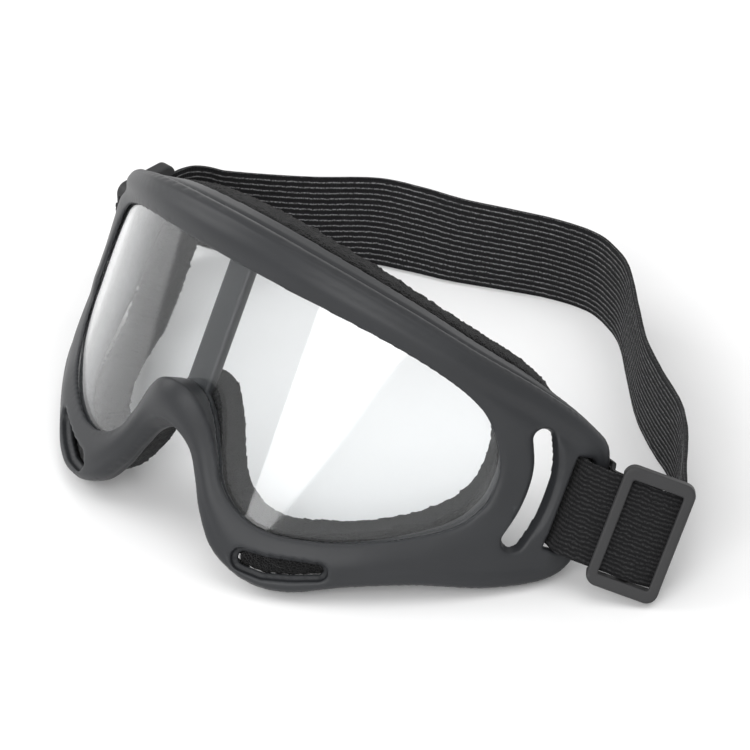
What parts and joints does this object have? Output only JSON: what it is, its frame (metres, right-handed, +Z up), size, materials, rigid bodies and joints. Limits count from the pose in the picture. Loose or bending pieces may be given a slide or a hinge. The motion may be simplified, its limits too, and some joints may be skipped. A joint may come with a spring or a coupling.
{
  "type": "sports protective goggles",
  "caption": "Wrap-around protective goggles: soft frame, clear bent lens, foam face seal and an elastic strap with sliding adjusters.",
  "frame": {"origin": "on the table under the centre of the bounding box, with the goggles standing on their lower lobes", "axes": "+X to the wearer's left, -Y to the front of the goggles, +Z up from the table"},
  "size_m": [0.2007, 0.1557, 0.0796],
  "materials": {
    "soft_frame": "satin",
    "clear_lens": "polished",
    "foam": "open cell",
    "webbing": "ribbed elastic",
    "slider_plastic": "moulded"
  },
  "bodies": {
    "frame": {"frame_shell": "soft_frame", "lens": "clear_lens", "face_foam": "foam", "vent_foam_left": "foam", "vent_foam_right": "foam", "strap_loop_left": "webbing", "strap_loop_right": "webbing"},
    "strap": {"strap_band": "webbing"},
    "slider_left": {"slider_left": "slider_plastic"},
    "slider_right": {"slider_right": "slider_plastic"}
  },
  "joints": [
    {"name": "strap_swing", "type": "hinge", "parent": "frame", "child": "strap", "pos_m": [-0.0089, -0.0135, 0.0203], "axis": [1, 0, 0], "range_deg": [-20, 30]},
    {"name": "slider_left_slide", "type": "slide", "parent": "strap", "child": "slider_left", "axis": [0.7986, 0.5264, -0.2918], "range_m": [-0.002, 0.001]},
    {"name": "slider_right_slide", "type": "slide", "parent": "strap", "child": "slider_right", "axis": [0, 1, 0], "range_m": [-0.001, 0.002]}
  ]
}
